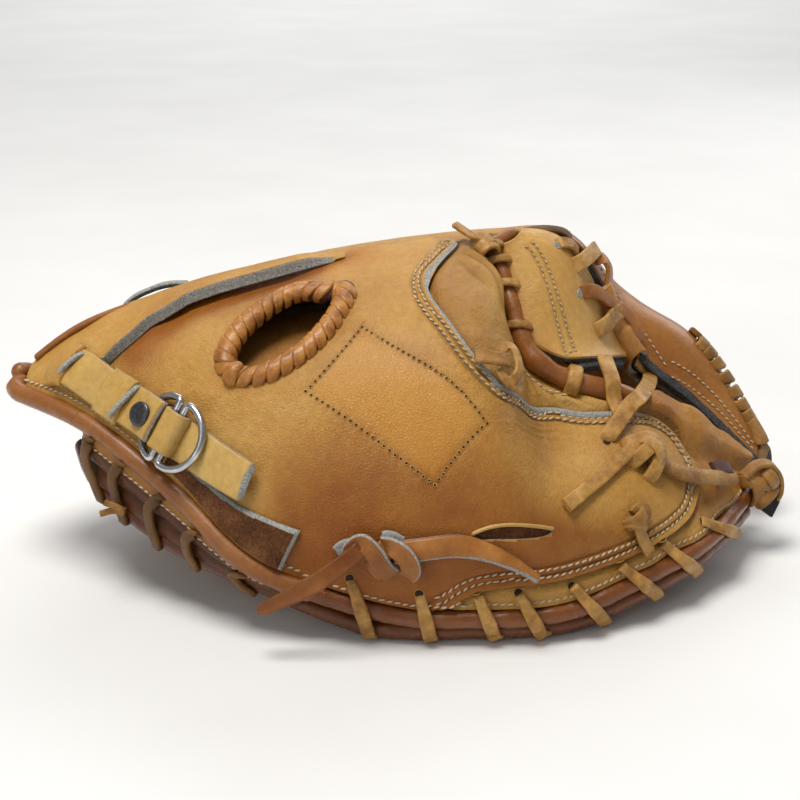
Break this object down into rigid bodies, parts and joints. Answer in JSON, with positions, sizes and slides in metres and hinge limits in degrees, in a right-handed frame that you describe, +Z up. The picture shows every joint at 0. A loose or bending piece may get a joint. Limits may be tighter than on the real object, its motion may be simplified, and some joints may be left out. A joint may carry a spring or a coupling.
{
  "type": "baseball catcher's mitt",
  "caption": "Round padded leather mitt for catching a baseball, lying half closed with the palm down, with laced rim welts, a web and a wrist strap on D-rings",
  "frame": {"origin": "centre of the bounding box's base, on the floor that the rim welts lie on", "axes": "+X from the wrist to the fingertips, +Y from the finger half to the thumb half, +Z up"},
  "size_m": [0.3174, 0.1917, 0.1343],
  "materials": {
    "tan_leather": "satin grain",
    "brown_leather": "polished",
    "lace_leather": "waxed rawhide",
    "suede": "napped",
    "soft_leather": "soft",
    "felt": "felt",
    "chrome": "polished",
    "black_enamel": "gloss"
  },
  "bodies": {
    "finger_half": {"finger_back_panel": "tan_leather", "finger_under_leather": "soft_leather", "finger_stall_lining": "soft_leather", "finger_pad": "felt", "finger_palm_leather": "tan_leather", "hand_lining": "soft_leather", "finger_back_welt": "brown_leather", "finger_palm_welt": "brown_leather", "crotch_roll": "brown_leather", "heel_binding": "brown_leather", "heel_gusset": "brown_leather", "rim_laces_finger": "lace_leather", "heel_laces": "lace_leather", "hole_lace_winding": "lace_leather", "wrist_flap": "tan_leather", "wrist_strap": "tan_leather", "strap_loop": "tan_leather", "strap_snap": "black_enamel", "strap_tail": "tan_leather", "suede_patch": "suede", "web_panel": "tan_leather", "web_fold": "suede", "web_laces_finger": "lace_leather", "cross_laces": "lace_leather", "web_knot": "lace_leather", "tip_knot": "lace_leather", "small_knot": "lace_leather", "front_thong": "lace_leather", "ridge_knot": "lace_leather", "palm_crease": "tan_leather"},
    "thumb_half": {"thumb_back_panel": "tan_leather", "thumb_tip_panel": "brown_leather", "thumb_tunnel": "brown_leather", "thumb_stall_lining": "soft_leather", "thumb_pad": "felt", "thumb_palm_leather": "tan_leather", "thumb_back_welt": "brown_leather", "thumb_palm_welt": "brown_leather", "thumb_heel_binding": "brown_leather", "thumb_heel_gusset": "brown_leather", "rim_laces_thumb": "lace_leather", "web_laces_thumb": "lace_leather", "whip_lace": "lace_leather"},
    "outer_ring": {"d_ring_outer": "chrome"},
    "inner_ring": {"d_ring_inner": "chrome"}
  },
  "joints": [
    {"name": "pocket_fold", "type": "hinge", "parent": "finger_half", "child": "thumb_half", "pos_m": [0.0357, 0.0135, 0.133], "axis": [0.9862, 0.0347, 0.1618], "range_deg": [0, 22], "deforming": ["web_panel", "web_fold", "cross_laces", "palm_crease"]},
    {"name": "outer_ring_swing", "type": "hinge", "parent": "finger_half", "child": "outer_ring", "pos_m": [-0.08878, -0.05923, 0.0725], "axis": [-0.4822, -0.2046, -0.8519], "range_deg": [0, 60]},
    {"name": "inner_ring_swing", "type": "hinge", "parent": "finger_half", "child": "inner_ring", "pos_m": [-0.09148, -0.05726, 0.07355], "axis": [0.4822, 0.2046, 0.8519], "range_deg": [0, 5]}
  ]
}
